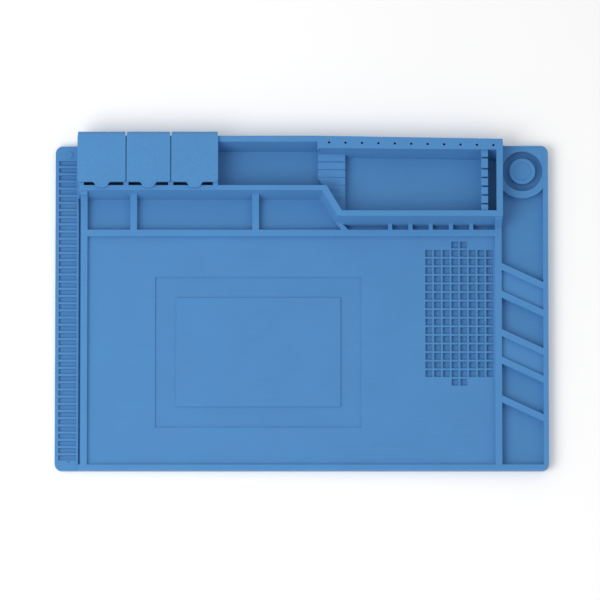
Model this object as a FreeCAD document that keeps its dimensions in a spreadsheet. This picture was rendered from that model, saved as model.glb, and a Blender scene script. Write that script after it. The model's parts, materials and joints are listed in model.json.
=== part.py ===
"""Silicone soldering and repair mat with three flip-lid boxes, in millimetres.

One soft moulding in real life. Here its floors, rails, ribs, walls and combs are separate solids that meet
face to face, so that every tray, bin and slot stays open between them. The three lids are pieces of their own,
each on a U-shaped strap of silicone that bends as the lid opens.

Frame: X runs left to right, Y from the user's edge to the back, Z up. The origin is the middle of the underside.
"""

import FreeCAD, Part
import math
import os
import Sketcher

DIMENSIONS = {
    # the sheet
    "mat_width": 450, "mat_depth": 300, "corner_radius": 6.5, "sheet_thick": 3,
    # levels above the table
    "strip_top": 6.5, "work_top": 6.5, "rail_top": 10, "block_top": 26, "comb_top": 23.5, "ridge_top": 11,
    # strip of screw cells along the left edge
    "strip_width": 21.5, "groove_width": 1.7, "cell_count": 42, "cell_pitch": 6.65, "cell_length": 16,
    "cell_width": 4.5, "cell_depth": 2.6, "cell_inset": 3.4, "cell_first": 136.5,
    "peg_radius": 3, "peg_height": 0.8, "peg_inset": 13, "peg_from_end": 8,
    # frame of low rails round the work area
    "rail_width": 6.2, "front_rail_width": 5, "work_depth": 211, "ramp_run": 7, "ramp_top": 23, "low_ramp_top": 18,
    # sunken border and the plateau inside it
    "border_width": 188, "border_depth": 139, "plateau_width": 150, "plateau_depth": 101,
    "border_sink": 1.2, "border_left_shift": 30, "border_front_shift": 1.2,
    # field of square screw wells
    "grid_margin": 66.5, "well_size": 6.1, "well_pitch": 7.95, "well_depth": 3, "well_columns": 8,
    "well_rows": 15, "well_edge": 1.7, "grid_middle": -4.9,
    # row of parts trays in front of the block
    "row_depth": 31.4, "first_tray": 39, "second_tray": 105.2,
    # tall block at the back, which stands a little past the sheet's back edge
    "block_overhang": 6.4, "wall_thick": 7, "end_wall_thick": 4.8, "back_wall_thick": 7.4, "rack_depth": 13.5,
    "bin_depth": 8, "tray_end": 14.4, "tray_end_thick": 1.8, "ridge_length": 23.6,
    "comb_left": 163.9, "comb_thick": 6.2, "slant_start": 17.4, "slant_run": 14, "slant_thick": 9.4,
    "ridge_pitch": 7.3, "ridge_count": 6, "ridge_radius": 3.1, "ridge_first": 137.4,
    "notch_width": 1.5, "notch_depth": 7, "notch_pitch": 8.1, "notch_count": 5, "notch_first": 93.8,
    "notch_last": 136.5,
    "bit_hole_radius": 1.1, "bit_hole_depth": 16, "bit_hole_pitch": 15, "bit_hole_count": 11,
    "bit_hole_first": 25, "bit_hole_inset": 6,
    # small bins
    "bin_first": 78.9, "bin_pitch": 18.5, "bin_wall": 3.8,
    # column of slanting pockets on the right
    "rim_width": 4.6, "column_width": 37.8, "rib_height": 6.5, "rib_drop": 17.6, "rib_first": 41.2,
    "small_pocket": 19, "large_pocket": 29.2,
    # round dish
    "dish_middle": 126.4, "dish_radius": 18.4, "dish_wall": 25, "seat_radius": 11.9, "seat_top": 9.5,
    "seat_well_radius": 8.5, "seat_well_depth": 0.9,
    # boxes and lids
    "box_width": 36.1, "box_wall": 4.7, "lid_thick": 3.4, "lid_lift": 0.1, "lid_gap": 0.8, "lid_setback": 2.6,
    "tab_root": 7.2, "tab_tip": 4.6, "tab_reach": 5.4, "lid_corner": 2.2, "lid_chamfer": 0.6, "lid_round": 0.8,
    "plug_depth": 2, "plug_wall": 1.8, "plug_gap": 0.8,
    # hinge straps
    "strap_thick": 1.2, "strap_radius": 3.8, "strap_width": 39.6,
}

doc = FreeCAD.newDocument("SolderingMat")
sheet = doc.addObject("Spreadsheet::Sheet", "Dims")
for row, (alias, value) in enumerate(DIMENSIONS.items(), start=1):
    sheet.set(f"A{row}", alias.replace("_", " "))
    sheet.set(f"B{row}", str(value))
    sheet.setAlias(f"B{row}", alias)
doc.recompute()

# Lines of the plan, as expressions of the sheet.
LEFT, RIGHT = "(-Dims.mat_width / 2)", "(Dims.mat_width / 2)"
FRONT, BACK = "(-Dims.mat_depth / 2)", "(Dims.mat_depth / 2)"
STRIP_RIGHT = f"({LEFT} + Dims.strip_width)"
FRAME_LEFT = f"({STRIP_RIGHT} + Dims.groove_width)"
WORK_LEFT = f"({FRAME_LEFT} + Dims.rail_width)"
RIM_LEFT = f"({RIGHT} - Dims.rim_width)"
COLUMN_LEFT = f"({RIM_LEFT} - Dims.column_width)"
WORK_RIGHT = f"({COLUMN_LEFT} - Dims.rail_width)"
GRID_LEFT = f"({WORK_RIGHT} - Dims.grid_margin)"
WORK_FRONT = f"({FRONT} + Dims.front_rail_width)"
WORK_BACK = f"({WORK_FRONT} + Dims.work_depth)"
WORK_MIDDLE_X = f"(({WORK_LEFT} + {WORK_RIGHT}) / 2 - Dims.border_left_shift)"
WORK_MIDDLE_Y = f"(({WORK_FRONT} + {WORK_BACK}) / 2 - Dims.border_front_shift)"
ROW_FRONT = f"({WORK_BACK} + Dims.rail_width)"
ROW_BACK = f"({ROW_FRONT} + Dims.row_depth)"
BOX_FRONT = f"({ROW_BACK} + Dims.wall_thick)"
BINS_BACK = f"({ROW_FRONT} + Dims.bin_depth)"
TOOL_FRONT = f"({BINS_BACK} + Dims.wall_thick)"
BLOCK_BACK = f"({BACK} + Dims.block_overhang)"
RACK_FRONT = f"({BLOCK_BACK} - Dims.rack_depth)"
TRAY_BACK = f"({BLOCK_BACK} - Dims.back_wall_thick)"
TRAY_END_RIGHT = "(Dims.tray_end + Dims.tray_end_thick)"
RIDGE_RIGHT = f"({TRAY_END_RIGHT} + Dims.ridge_length)"
COMB_RIGHT = "(Dims.comb_left + Dims.comb_thick)"
FIRST_DIVIDER = f"({WORK_LEFT} + Dims.first_tray)"
SECOND_DIVIDER = f"({FIRST_DIVIDER} + Dims.rail_width + Dims.second_tray)"
SLANT_SLOPE = f"(Dims.slant_run / ({ROW_BACK} - {BINS_BACK}))"
SLANT_BACK = f"(Dims.slant_start + Dims.slant_thick - Dims.wall_thick * {SLANT_SLOPE})"
SLANT_END = "(Dims.slant_start + Dims.slant_run)"
DISH_X = f"(({COLUMN_LEFT} + {RIM_LEFT}) / 2)"
LID_BOTTOM = "(Dims.block_top + Dims.lid_lift)"
LID_TOP = f"({LID_BOTTOM} + Dims.lid_thick)"


def value(expression):
    """The number that an expression of the sheet has now."""
    return float(sheet.evalExpression(expression))


def origin_feature(body, role):
    """A body's own origin plane or axis, by its role."""
    return next(f for f in body.Origin.OriginFeatures if f.Role == role)


def new_body(label, bottom="0"):
    """An empty body whose zero level is at a height above the table."""
    body = doc.addObject("PartDesign::Body", "Body_" + label)
    body.Label = label
    body.setExpression(".Placement.Base.z", bottom)
    return body


def new_sketch(body, name, plane="XY_Plane"):
    sketch = body.newObject("Sketcher::SketchObject", name)
    sketch.AttachmentSupport = [(origin_feature(body, plane), "")]
    sketch.MapMode = "FlatFace"
    return sketch


def bind(sketch, constraint, expression):
    """Adds a constraint to a sketch and ties its size to an expression."""
    index = sketch.addConstraint(constraint)
    name = f"size_{index}"
    sketch.renameConstraint(index, name)
    sketch.setExpression(f"Constraints.{name}", expression)


def add_outline(sketch, corners):
    """A closed outline of straight lines through corners, each a pair of expressions."""
    points = [FreeCAD.Vector(value(x), value(y), 0) for x, y in corners]
    first = sketch.GeometryCount
    count = len(points)
    for i in range(count):
        sketch.addGeometry(Part.LineSegment(points[i], points[(i + 1) % count]), False)
    for i in range(count):
        sketch.addConstraint(Sketcher.Constraint("Coincident", first + i, 2, first + (i + 1) % count, 1))
    for i, (x, y) in enumerate(corners):
        bind(sketch, Sketcher.Constraint("DistanceX", -1, 1, first + i, 1, points[i].x), x)
        bind(sketch, Sketcher.Constraint("DistanceY", -1, 1, first + i, 1, points[i].y), y)


def add_circle(sketch, x, y, radius):
    """A circle whose centre and radius are expressions."""
    centre = FreeCAD.Vector(value(x), value(y), 0)
    index = sketch.addGeometry(Part.Circle(centre, FreeCAD.Vector(0, 0, 1), value(radius)), False)
    bind(sketch, Sketcher.Constraint("DistanceX", -1, 1, index, 3, centre.x), x)
    bind(sketch, Sketcher.Constraint("DistanceY", -1, 1, index, 3, centre.y), y)
    bind(sketch, Sketcher.Constraint("Radius", index, value(radius)), radius)


def rectangle(x0, x1, y0, y1):
    return [(x0, y0), (x1, y0), (x1, y1), (x0, y1)]


def pad(body, sketch, length, name="Pad", downwards=False):
    feature = body.newObject("PartDesign::Pad", name)
    feature.Profile = sketch
    feature.setExpression("Length", length)
    feature.Reversed = downwards
    return feature


def pocket(body, sketch, name, depth=None):
    """A pocket cut upwards from its sketch by depth, or right through both ways."""
    feature = body.newObject("PartDesign::Pocket", name)
    feature.Profile = sketch
    if depth is None:
        feature.Type = "ThroughAll"
        feature.Midplane = True
    else:
        feature.setExpression("Length", depth)
        feature.Reversed = True
    return feature


def sunk_pocket(body, name, height, depth, draw):
    """A pocket sunk by depth from a surface that lies height above the body's zero level."""
    sketch = new_sketch(body, name + "Sketch")
    sketch.setExpression(".AttachmentOffset.Base.z", f"{height} - {depth}")
    draw(sketch)
    return pocket(body, sketch, name, depth + " + 1")


def repeat(body, feature, role, length, count, name, backwards=False):
    """A row of copies of a feature along one of the body's axes."""
    row = body.newObject("PartDesign::LinearPattern", name)
    row.Originals = [feature]
    row.Direction = (origin_feature(body, role), [""])
    row.Reversed = backwards
    row.setExpression("Length", length)
    row.setExpression("Occurrences", count)
    body.Tip = row
    return row


def wall(label, corners, top, bottom="Dims.sheet_thick"):
    """A solid with a straight-sided plan that stands between two levels."""
    body = new_body(label, bottom)
    sketch = new_sketch(body, "Plan")
    add_outline(sketch, corners)
    pad(body, sketch, f"{top} - {bottom}")
    return body


def upright_edges(shape, wanted):
    """Names of a shape's upright edges whose place wanted(x, y) picks."""
    names = []
    for number, edge in enumerate(shape.Edges, start=1):
        first, last = edge.Vertexes[0].Point, edge.Vertexes[-1].Point
        upright = abs(first.x - last.x) < 0.01 and abs(first.y - last.y) < 0.01 and abs(first.z - last.z) > 0.5
        if upright and wanted(first.x, first.y):
            names.append(f"Edge{number}")
    return names


def round_edges(body, names, radius, name="Rounding"):
    feature = body.newObject("PartDesign::Fillet", name)
    feature.Base = (body.Tip if body.Tip is not feature else feature.BaseFeature, names)
    feature.setExpression("Radius", radius)
    return feature


def round_uprights(body, wanted, radius, name="Corners"):
    doc.recompute()
    return round_edges(body, upright_edges(body.Tip.Shape, wanted), radius, name)


def cut_corner(body):
    """Takes the mat's rounded front right corner off a body that reaches it."""
    sketch = new_sketch(body, "CornerSketch")
    radius, right, front = value("Dims.corner_radius"), value(RIGHT), value(FRONT)
    tip, start = FreeCAD.Vector(right, front, 0), FreeCAD.Vector(right - radius, front, 0)
    end, centre = FreeCAD.Vector(right, front + radius, 0), FreeCAD.Vector(right - radius, front + radius, 0)
    sketch.addGeometry(Part.LineSegment(start, tip), False)
    sketch.addGeometry(Part.LineSegment(tip, end), False)
    circle = Part.Circle(centre, FreeCAD.Vector(0, 0, 1), radius)
    sketch.addGeometry(Part.ArcOfCircle(circle, -math.pi / 2, 0), False)
    for ends in ((0, 2, 1, 1), (1, 2, 2, 2), (2, 1, 0, 1)):
        sketch.addConstraint(Sketcher.Constraint("Coincident", *ends))
    sketch.addConstraint(Sketcher.Constraint("Horizontal", 0))
    sketch.addConstraint(Sketcher.Constraint("Vertical", 1))
    bind(sketch, Sketcher.Constraint("DistanceX", -1, 1, 0, 2, right), RIGHT)
    bind(sketch, Sketcher.Constraint("DistanceY", -1, 1, 0, 2, front), FRONT)
    bind(sketch, Sketcher.Constraint("DistanceX", -1, 1, 0, 1, start.x), f"{RIGHT} - Dims.corner_radius")
    bind(sketch, Sketcher.Constraint("DistanceY", -1, 1, 1, 2, end.y), f"{FRONT} + Dims.corner_radius")
    bind(sketch, Sketcher.Constraint("Radius", 2, radius), "Dims.corner_radius")
    pocket(body, sketch, "Corner")


def make_sheet_and_strip():
    base = wall("base_sheet", rectangle(LEFT, RIGHT, FRONT, BACK), "Dims.sheet_thick", "0")
    round_uprights(base, lambda x, y: True, "Dims.corner_radius")
    wall("block_foot", rectangle(STRIP_RIGHT, COLUMN_LEFT, BACK, BLOCK_BACK), "Dims.sheet_thick", "0")

    strip = wall("screw_cell_strip", rectangle(LEFT, STRIP_RIGHT, FRONT, BACK), "Dims.strip_top")
    round_uprights(strip, lambda x, y: x < value(STRIP_RIGHT) - 1, "Dims.corner_radius")
    thick = "(Dims.strip_top - Dims.sheet_thick)"
    cell_left = f"({LEFT} + Dims.cell_inset)"
    peg_x = f"({LEFT} + Dims.peg_inset)"
    first_cell = rectangle(
        cell_left, f"({cell_left} + Dims.cell_length)", "(Dims.cell_first - Dims.cell_width)", "Dims.cell_first"
    )
    cell = sunk_pocket(strip, "Cell", thick, "Dims.cell_depth", lambda s: add_outline(s, first_cell))
    run = "Dims.cell_pitch * (Dims.cell_count - 1)"
    repeat(strip, cell, "Y_Axis", run, "Dims.cell_count", "Cells", backwards=True)
    peg = new_sketch(strip, "PegSketch")
    peg.setExpression(".AttachmentOffset.Base.z", thick)
    add_circle(peg, peg_x, f"({BACK} - Dims.peg_from_end)", "Dims.peg_radius")
    pad(strip, peg, "Dims.peg_height", "Peg")
    dimple = rectangle(f"({peg_x} - 1)", f"({peg_x} + 1)", f"({FRONT} + 7)", f"({FRONT} + 10)")
    sunk_pocket(strip, "EndMark", thick, "Dims.peg_height", lambda s: add_outline(s, dimple))


def make_work_area():
    floor = wall("work_floor", rectangle(WORK_LEFT, GRID_LEFT, WORK_FRONT, WORK_BACK), "Dims.work_top")
    thick = "(Dims.work_top - Dims.sheet_thick)"

    def border(sketch):
        for width, depth in (("Dims.border_width", "Dims.border_depth"), ("Dims.plateau_width", "Dims.plateau_depth")):
            add_outline(sketch, rectangle(
                f"({WORK_MIDDLE_X} - {width} / 2)", f"({WORK_MIDDLE_X} + {width} / 2)",
                f"({WORK_MIDDLE_Y} - {depth} / 2)", f"({WORK_MIDDLE_Y} + {depth} / 2)",
            ))

    sunk_pocket(floor, "SunkenBorder", thick, "Dims.border_sink", border)

    grid = wall("screw_grid_panel", rectangle(GRID_LEFT, WORK_RIGHT, WORK_FRONT, WORK_BACK), "Dims.work_top")
    field_right = f"({WORK_RIGHT} - Dims.well_edge)"
    field_left = f"({field_right} - (Dims.well_columns - 1) * Dims.well_pitch - Dims.well_size)"
    field_back = "(Dims.grid_middle + ((Dims.well_rows - 1) * Dims.well_pitch + Dims.well_size) / 2)"
    run = "Dims.well_pitch * (Dims.well_rows - 1)"

    def well_row(first_column, columns, back, name, rows):
        def wells(sketch):
            for i in range(first_column, first_column + columns):
                x = f"({field_left} + {i} * Dims.well_pitch)"
                add_outline(sketch, rectangle(x, f"({x} + Dims.well_size)", f"({back} - Dims.well_size)", back))

        row = sunk_pocket(grid, name, thick, "Dims.well_depth", wells)
        repeat(grid, row, "Y_Axis", f"{run} * {rows}", "Dims.well_rows" if rows == 1 else "2", name + "Rows", True)

    well_row(0, 8, field_back, "Wells", 1)
    end_back = f"({field_back} + Dims.well_pitch)"
    well_row(3, 2, end_back, "EndWells", "(Dims.well_rows + 1) / (Dims.well_rows - 1)")


def ramp(label, left, right, back, top):
    """A wedge that stands on a rail and climbs to the wall behind it."""
    body = new_body(label)
    side = new_sketch(body, "Side", "YZ_Plane")
    side.setExpression(".AttachmentOffset.Base.z", left)
    add_outline(side, [(f"({back} - Dims.ramp_run)", "Dims.rail_top"), (back, "Dims.rail_top"), (back, top)])
    pad(body, side, f"{right} - {left}")


def make_rails():
    wall("left_rail", rectangle(FRAME_LEFT, WORK_LEFT, WORK_FRONT, ROW_BACK), "Dims.rail_top")
    ramp("rail_ramp_left", FRAME_LEFT, WORK_LEFT, ROW_BACK, "Dims.ramp_top")
    wall("right_rail", rectangle(WORK_RIGHT, COLUMN_LEFT, WORK_FRONT, BINS_BACK), "Dims.rail_top")
    ramp("rail_ramp_right", WORK_RIGHT, COLUMN_LEFT, BINS_BACK, "Dims.ramp_top")
    wall("middle_rail", rectangle(WORK_LEFT, WORK_RIGHT, WORK_BACK, ROW_FRONT), "Dims.rail_top")
    front = wall("front_rail", rectangle(STRIP_RIGHT, RIGHT, FRONT, WORK_FRONT), "Dims.rail_top")
    cut_corner(front)
    rim = wall("right_rim", rectangle(RIM_LEFT, RIGHT, WORK_FRONT, "Dims.dish_middle"), "Dims.rail_top")
    cut_corner(rim)


def make_parts_row():
    for side, x in (("left", FIRST_DIVIDER), ("right", SECOND_DIVIDER)):
        end = f"({x} + Dims.rail_width)"
        wall(f"row_divider_{side}", rectangle(x, end, ROW_FRONT, ROW_BACK), "Dims.rail_top")
        ramp(f"divider_ramp_{side}", x, end, ROW_BACK, "Dims.low_ramp_top")
    lean = f"(Dims.bin_depth * {SLANT_SLOPE})"
    end = f"({SLANT_END} + Dims.rail_width)"
    wall("row_divider_slanted", [
        (f"({SLANT_END} + {lean})", ROW_FRONT), (f"({end} + {lean})", ROW_FRONT), (end, BINS_BACK),
        (SLANT_END, BINS_BACK),
    ], "Dims.rail_top")
    for i in range(5):
        x = f"(Dims.bin_first + {i} * Dims.bin_pitch)"
        wall(f"bin_divider_{i + 1}", rectangle(x, f"({x} + Dims.bin_wall)", ROW_FRONT, BINS_BACK), "Dims.rail_top")


def make_block_walls():
    back_end = f"({SLANT_BACK} + Dims.slant_run)"
    wall("front_wall_left", [
        (STRIP_RIGHT, ROW_BACK), ("Dims.slant_start", ROW_BACK), (SLANT_BACK, BOX_FRONT), (STRIP_RIGHT, BOX_FRONT),
    ], "Dims.block_top")
    wall("front_wall_slanted", [
        ("Dims.slant_start", ROW_BACK), (SLANT_END, BINS_BACK), (back_end, TOOL_FRONT), (SLANT_BACK, BOX_FRONT),
    ], "Dims.block_top")
    wall("front_wall_right", [
        (SLANT_END, BINS_BACK), (COLUMN_LEFT, BINS_BACK), (COLUMN_LEFT, TOOL_FRONT), (back_end, TOOL_FRONT),
    ], "Dims.block_top")
    wall("back_wall", rectangle(STRIP_RIGHT, "Dims.tray_end", TRAY_BACK, BLOCK_BACK), "Dims.block_top")
    wall("tray_end_wall", rectangle("Dims.tray_end", TRAY_END_RIGHT, BOX_FRONT, RACK_FRONT), "Dims.ridge_top")
    wall("block_end_wall", rectangle(
        f"({COLUMN_LEFT} - Dims.end_wall_thick)", COLUMN_LEFT, TOOL_FRONT, RACK_FRONT
    ), "Dims.block_top")
    names = ("box_wall_left", "box_partition_left", "box_partition_right", "box_wall_right")
    for i, label in enumerate(names):
        x = f"({STRIP_RIGHT} + {i} * (Dims.box_width + Dims.box_wall))"
        wall(label, rectangle(x, f"({x} + Dims.box_wall)", BOX_FRONT, TRAY_BACK), "Dims.block_top")


def make_bit_rack():
    rack = wall("bit_rack", rectangle("Dims.tray_end", COLUMN_LEFT, RACK_FRONT, BLOCK_BACK), "Dims.block_top")
    thick = "(Dims.block_top - Dims.sheet_thick)"
    hole = sunk_pocket(rack, "BitHole", thick, "Dims.bit_hole_depth", lambda s: add_circle(
        s, "Dims.bit_hole_first", f"({BLOCK_BACK} - Dims.bit_hole_inset)", "Dims.bit_hole_radius"
    ))
    run = "Dims.bit_hole_pitch * (Dims.bit_hole_count - 1)"
    repeat(rack, hole, "X_Axis", run, "Dims.bit_hole_count", "BitHoles")


def make_tool_rests():
    ridge = wall("ridge_rest", [
        (TRAY_END_RIGHT, BOX_FRONT), (SLANT_BACK, BOX_FRONT), (f"({SLANT_BACK} + Dims.slant_run)", TOOL_FRONT),
        (RIDGE_RIGHT, TOOL_FRONT), (RIDGE_RIGHT, RACK_FRONT), (TRAY_END_RIGHT, RACK_FRONT),
    ], "Dims.ridge_top")
    groove = new_sketch(ridge, "GrooveSketch", "YZ_Plane")
    add_circle(groove, "Dims.ridge_first", "(Dims.ridge_top - Dims.sheet_thick + 1)", "Dims.ridge_radius")
    cut = pocket(ridge, groove, "Groove")
    run = "Dims.ridge_pitch * (Dims.ridge_count - 1)"
    repeat(ridge, cut, "Y_Axis", run, "Dims.ridge_count", "Grooves", backwards=True)

    comb = wall("notched_comb", rectangle("Dims.comb_left", COMB_RIGHT, TOOL_FRONT, RACK_FRONT), "Dims.comb_top")

    def notch(name, y):
        sides = rectangle("Dims.comb_left", COMB_RIGHT, f"({y} - Dims.notch_width / 2)", f"({y} + Dims.notch_width / 2)")
        height = "(Dims.comb_top - Dims.sheet_thick)"
        return sunk_pocket(comb, name, height, "Dims.notch_depth", lambda s: add_outline(s, sides))

    first = notch("Notch", "Dims.notch_first")
    repeat(comb, first, "Y_Axis", "Dims.notch_pitch * (Dims.notch_count - 1)", "Dims.notch_count", "Notches")
    notch("LastNotch", "Dims.notch_last")


def make_column():
    slope = "(Dims.rib_drop / Dims.column_width)"
    steps = ["0", "Dims.small_pocket", "Dims.large_pocket", "Dims.small_pocket", "Dims.large_pocket"]
    top = "Dims.rib_first"
    for number, step in enumerate(steps, start=1):
        if number > 1:
            top = f"({top} - Dims.rib_height - {step})"
        low = f"({top} - {slope} * Dims.column_width)"
        wall(f"column_rib_{number}", [
            (COLUMN_LEFT, f"({top} - Dims.rib_height)"), (RIM_LEFT, f"({low} - Dims.rib_height)"), (RIM_LEFT, low),
            (COLUMN_LEFT, top),
        ], "Dims.rail_top")
        if step == "Dims.small_pocket":
            label = "shallow_floor_upper" if number == 2 else "shallow_floor_lower"
            wall(label, [
                (COLUMN_LEFT, top), (RIM_LEFT, low), (RIM_LEFT, f"({low} + {step})"),
                (COLUMN_LEFT, f"({top} + {step})"),
            ], "Dims.work_top")


def primitive(kind, name, sizes, place):
    """A Part primitive with its sizes and its place tied to expressions."""
    shape = doc.addObject(kind, name)
    for size, expression in sizes.items():
        shape.setExpression(size, expression)
    for axis, expression in zip("xyz", place):
        shape.setExpression(f".Placement.Base.{axis}", expression)
    return shape


def combine(kind, name, base, tool):
    result = doc.addObject(kind, name)
    result.Base, result.Tool = base, tool
    return result


def make_dish():
    height = "Dims.rail_top - Dims.sheet_thick"
    centre = (DISH_X, "Dims.dish_middle", "Dims.sheet_thick")
    back_half = primitive("Part::Box", "DishBack", {
        "Length": f"{RIGHT} - {COLUMN_LEFT}", "Width": f"{BACK} - Dims.dish_middle", "Height": height,
    }, (COLUMN_LEFT, "Dims.dish_middle", "Dims.sheet_thick"))
    front_half = primitive("Part::Box", "DishFront", {
        "Length": "Dims.column_width", "Width": "Dims.dish_wall", "Height": height,
    }, (COLUMN_LEFT, "Dims.dish_middle - Dims.dish_wall", "Dims.sheet_thick"))
    outside = primitive("Part::Cylinder", "DishOutside", {"Radius": "Dims.dish_wall", "Height": height}, centre)
    hollow = primitive("Part::Cylinder", "DishHollow", {"Radius": "Dims.dish_radius", "Height": height}, centre)
    round_front = combine("Part::Common", "DishRoundFront", front_half, outside)
    whole = combine("Part::Fuse", "DishWhole", back_half, round_front)
    ring = combine("Part::Cut", "DishOpen", whole, hollow)
    doc.recompute()
    corner = upright_edges(ring.Shape, lambda x, y: x > value(RIGHT) - 1 and y > value(BACK) - 1)
    rounded = doc.addObject("Part::Fillet", "DishRing")
    rounded.Base = ring
    radius = value("Dims.corner_radius")
    rounded.Edges = [(int(name[4:]), radius, radius) for name in corner]
    rounded.Label = "dish_ring"

    seat = new_body("dish_seat", "Dims.sheet_thick")
    sketch = new_sketch(seat, "Plan")
    add_circle(sketch, DISH_X, "Dims.dish_middle", "Dims.seat_radius")
    pad(seat, sketch, "Dims.seat_top - Dims.sheet_thick")
    thick = "(Dims.seat_top - Dims.sheet_thick)"
    sunk_pocket(seat, "SeatWell", thick, "Dims.seat_well_depth", lambda s: add_circle(
        s, DISH_X, "Dims.dish_middle", "Dims.seat_well_radius"
    ))


def make_lid(number, name):
    """A flip lid: a plate with a finger tab at its front and a locating rim under it."""
    pitch = "(Dims.box_width + Dims.box_wall)"
    box_left = f"({STRIP_RIGHT} + Dims.box_wall + {number} * {pitch})"
    box_right = f"({box_left} + Dims.box_width)"
    near = "((Dims.box_wall - Dims.lid_gap) / 2)"
    left = f"({box_left} - Dims.box_wall)" if number == 0 else f"({box_left} - {near})"
    right = f"({box_right} + Dims.box_wall)" if number == 2 else f"({box_right} + {near})"
    middle = f"(({left} + {right}) / 2)"
    front = f"({BOX_FRONT} + Dims.lid_setback)"
    tip = f"({front} - Dims.tab_reach)"

    lid = new_body(f"lid_{name}", LID_BOTTOM)
    plan = new_sketch(lid, "Plan")
    add_outline(plan, [
        (left, front), (f"({middle} - Dims.tab_root)", front), (f"({middle} - Dims.tab_tip)", tip),
        (f"({middle} + Dims.tab_tip)", tip), (f"({middle} + Dims.tab_root)", front), (right, front),
        (right, f"({BLOCK_BACK} - Dims.lid_chamfer)"), (f"({right} - Dims.lid_chamfer)", BLOCK_BACK),
        (f"({left} + Dims.lid_chamfer)", BLOCK_BACK), (left, f"({BLOCK_BACK} - Dims.lid_chamfer)"),
    ])
    pad(lid, plan, "Dims.lid_thick")
    front_y, tip_y = value(front), value(tip)
    round_uprights(lid, lambda x, y: y < tip_y + 0.1, "Dims.tab_tip - 0.4", "TabTip")
    round_uprights(lid, lambda x, y: abs(y - front_y) < 0.1, "Dims.lid_corner", "FrontCorners")
    doc.recompute()
    top = value("Dims.lid_thick")
    upper = [f"Edge{n}" for n, e in enumerate(lid.Tip.Shape.Edges, start=1)
             if all(abs(v.Point.z - lid.Placement.Base.z - top) < 0.01 or abs(v.Point.z - top) < 0.01
                    for v in e.Vertexes) and e.BoundBox.ZLength < 0.01 and e.BoundBox.YMin < value(BLOCK_BACK) - 0.1]
    round_edges(lid, upper, "Dims.lid_round", "TopEdge")
    rim = new_sketch(lid, "RimPlan")
    outer = [f"({box_left} + Dims.plug_gap)", f"({box_right} - Dims.plug_gap)", f"({front} + Dims.plug_gap)",
             f"({TRAY_BACK} - Dims.plug_gap)"]
    inner = [f"({outer[0]} + Dims.plug_wall)", f"({outer[1]} - Dims.plug_wall)", f"({outer[2]} + Dims.plug_wall)",
             f"({outer[3]} - Dims.plug_wall)"]
    add_outline(rim, rectangle(*outer))
    add_outline(rim, rectangle(*inner))
    pad(lid, rim, "Dims.plug_depth", "Rim", downwards=True)

    strap = new_body(f"strap_{name}")
    section = new_sketch(strap, "Section", "YZ_Plane")
    centre = FreeCAD.Vector(value(BLOCK_BACK), value(f"({LID_TOP} - Dims.strap_radius)"), 0)
    outer_r, inner_r = value("Dims.strap_radius"), value("Dims.strap_radius - Dims.strap_thick")
    up = FreeCAD.Vector(0, 0, 1)
    for radius in (outer_r, inner_r):
        section.addGeometry(Part.ArcOfCircle(Part.Circle(centre, up, radius), -math.pi / 2, math.pi / 2), False)
    for sign in (-1, 1):
        ends = [centre + FreeCAD.Vector(0, sign * radius, 0) for radius in (outer_r, inner_r)]
        section.addGeometry(Part.LineSegment(*ends), False)
    for ends in ((2, 1, 0, 1), (2, 2, 1, 1), (3, 1, 0, 2), (3, 2, 1, 2), (0, 3, 1, 3)):
        section.addConstraint(Sketcher.Constraint("Coincident", *ends))
    section.addConstraint(Sketcher.Constraint("Vertical", 2))
    section.addConstraint(Sketcher.Constraint("Vertical", 3))
    bind(section, Sketcher.Constraint("DistanceX", -1, 1, 0, 3, centre.x), BLOCK_BACK)
    bind(section, Sketcher.Constraint("DistanceY", -1, 1, 0, 3, centre.y), f"{LID_TOP} - Dims.strap_radius")
    bind(section, Sketcher.Constraint("Radius", 0, outer_r), "Dims.strap_radius")
    bind(section, Sketcher.Constraint("Radius", 1, inner_r), "Dims.strap_radius - Dims.strap_thick")
    length = pad(strap, section, "Dims.strap_width")
    length.Midplane = True
    strap.setExpression(".Placement.Base.x", middle)


def check_and_export():
    """Stops on any failed object or bad shape, then writes each sub-part to its own STEP file."""
    doc.recompute()
    failed = [o.Name for o in doc.Objects if "Invalid" in o.State or "Error" in o.State]
    if failed:
        raise RuntimeError(f"failed objects: {failed}")
    subparts = [o for o in doc.Objects if o.TypeId == "PartDesign::Body"] + [doc.getObject("DishRing")]
    for part in subparts:
        if part.Shape.isNull() or not part.Shape.isValid() or not part.Shape.Solids:
            raise RuntimeError(f"bad shape: {part.Label}")
    os.makedirs("parts", exist_ok=True)
    for old in os.listdir("parts"):
        os.remove(os.path.join("parts", old))
    for part in subparts:
        part.Shape.exportStep(f"parts/{part.Label}.step")
        print(f"{part.Label}: {len(part.Shape.Solids)} solid, {part.Shape.Volume:.0f} mm3")


make_sheet_and_strip()
make_work_area()
make_rails()
make_parts_row()
make_block_walls()
make_bit_rack()
make_tool_rests()
make_column()
make_dish()
for position, side in enumerate(("left", "middle", "right")):
    make_lid(position, side)
check_and_export()
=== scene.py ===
"""A silicone soldering mat: its one soft moulding, its three flip lids on their hinges, and the studio.

Metres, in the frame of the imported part: X to the right, Y from the user's edge to the back, Z up.
"""

import json
import math

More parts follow.
